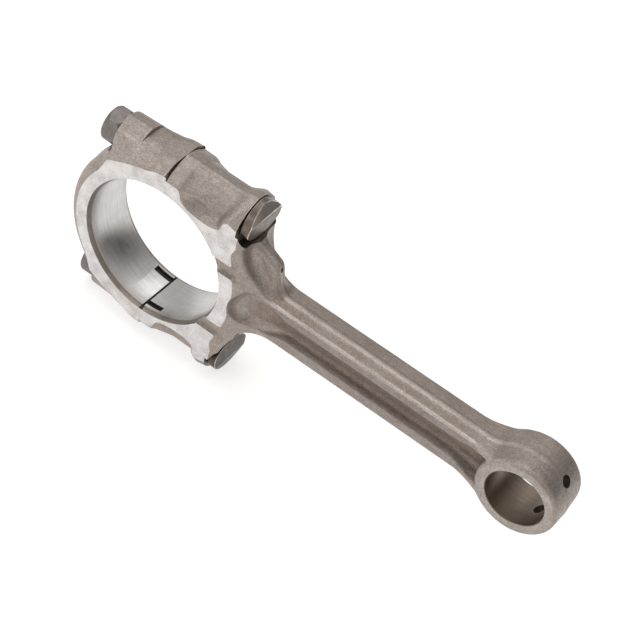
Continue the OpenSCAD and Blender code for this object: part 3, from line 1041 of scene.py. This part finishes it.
install(rod, None, "rod", "rod_forging")
install(cap, None, "cap", "bearing_cap")
install(upper_bolt, bolt_look, "rod", "upper_bolt")
install(lower_bolt, shaded_bolt_look, "rod", "lower_bolt")
install(upper_nut, nut_look, "upper_nut", "upper_nut")
install(lower_nut, nut_look, "lower_nut", "lower_nut")


# ---- floor and light ----
FLOOR_Z = cad_bounds[0].z - 0.5 * MM
FLOOR_R = 4
FLOOR_GLOW = 0.62
WORLD_STRENGTH = 0.62
DARK_STRENGTH = 0.05
DARK_SIDE = (0.76, 0.64, 0.10)


def make_floor():
    """A pale round floor, wide enough to fill a view from above."""
    bm = bmesh.new()
    bmesh.ops.create_circle(bm, cap_ends=True, segments=96, radius=FLOOR_R)
    mesh = bpy.data.meshes.new("floor")
    bm.to_mesh(mesh)
    bm.free()
    floor = bpy.data.objects.new("floor", mesh)
    floor.location = (0.07, 0, FLOOR_Z)
    bpy.context.scene.collection.objects.link(floor)
    look = Look("floor_paper")
    fibres = look.span(look.noise(1.5, 3, 0.6), 0.3, 0.7)
    colour = look.blend(fibres, (0.60, 0.60, 0.60), (0.62, 0.62, 0.62))
    look.finish(colour, look.span(fibres, 0, 1, 0.85, 0.9), 0.0)
    look.shader.inputs["Emission Color"].default_value = (1, 1, 1, 1)
    look.shader.inputs["Emission Strength"].default_value = FLOOR_GLOW
    mesh.materials.append(look.material)


def softbox(name, place, aim, size, power):
    """A rectangular area light that looks at a point."""
    data = bpy.data.lights.new(name, "AREA")
    data.shape = "RECTANGLE"
    data.size, data.size_y = size
    data.energy = power
    light = bpy.data.objects.new(name, data)
    place = Vector(place)
    light.location = place
    light.rotation_mode = "QUATERNION"
    light.rotation_quaternion = (Vector(aim) - place).to_track_quat("-Z", "Y")
    bpy.context.scene.collection.objects.link(light)


def make_world():
    """An even pale surround with one darker side for the metal to mirror. Seen directly, it is white."""
    world = bpy.data.worlds.new("studio")
    world.use_nodes = True
    nodes, links = world.node_tree.nodes, world.node_tree.links
    back = nodes["Background"]
    back.inputs["Color"].default_value = (1.0, 0.985, 0.965, 1)
    facing = nodes.new("ShaderNodeVectorMath")
    facing.operation = "DOT_PRODUCT"
    facing.inputs[1].default_value = DARK_SIDE
    links.new(nodes.new("ShaderNodeTexCoord").outputs["Generated"], facing.inputs[0])
    span = nodes.new("ShaderNodeMapRange")
    ends = (("From Min", 0.66), ("From Max", 0.97), ("To Min", WORLD_STRENGTH), ("To Max", DARK_STRENGTH))
    for key, value in ends:
        span.inputs[key].default_value = value
    links.new(facing.outputs["Value"], span.inputs["Value"])
    seen = nodes.new("ShaderNodeMix")
    links.new(nodes.new("ShaderNodeLightPath").outputs["Is Camera Ray"], seen.inputs["Factor"])
    links.new(span.outputs["Result"], seen.inputs["A"])
    seen.inputs["B"].default_value = 1.0
    links.new(seen.outputs["Result"], back.inputs["Strength"])
    bpy.context.scene.world = world


make_floor()
make_world()
middle = (cad_bounds[0] + cad_bounds[1]) / 2
softbox("key", (-0.15, 0.10, 0.95), middle, (0.9, 0.9), 3.4)
softbox("fill", (-0.65, -0.75, 0.55), middle, (0.7, 0.5), 2.5)
bpy.context.scene.view_settings.view_transform = "Standard"


# ---- camera ----
CAMERA_PLACE = Vector((201.08, -343.80, 400.36)) * MM
CAMERA_AZIMUTH = math.radians(21.83)
CAMERA_ELEVATION = math.radians(46.62)
CAMERA_ROLL = math.radians(18.02)
CAMERA_LENS = 89.81      # focal length on Blender's 36 mm sensor


def make_camera():
    """The camera, with its azimuth as the turn from looking along +Y."""
    a, e = CAMERA_AZIMUTH, CAMERA_ELEVATION
    back = Vector((math.sin(a) * math.cos(e), -math.cos(a) * math.cos(e), math.sin(e)))
    level = Vector((math.cos(a), math.sin(a), 0))
    right = Matrix.Rotation(CAMERA_ROLL, 3, back) @ level
    turn = Matrix((right, back.cross(right), back)).transposed().to_4x4()
    data = bpy.data.cameras.new("camera")
    data.lens = CAMERA_LENS
    data.clip_start = 0.01
    camera = bpy.data.objects.new("camera", data)
    camera.matrix_world = Matrix.Translation(CAMERA_PLACE) @ turn
    bpy.context.scene.collection.objects.link(camera)
    bpy.context.scene.camera = camera


make_camera()
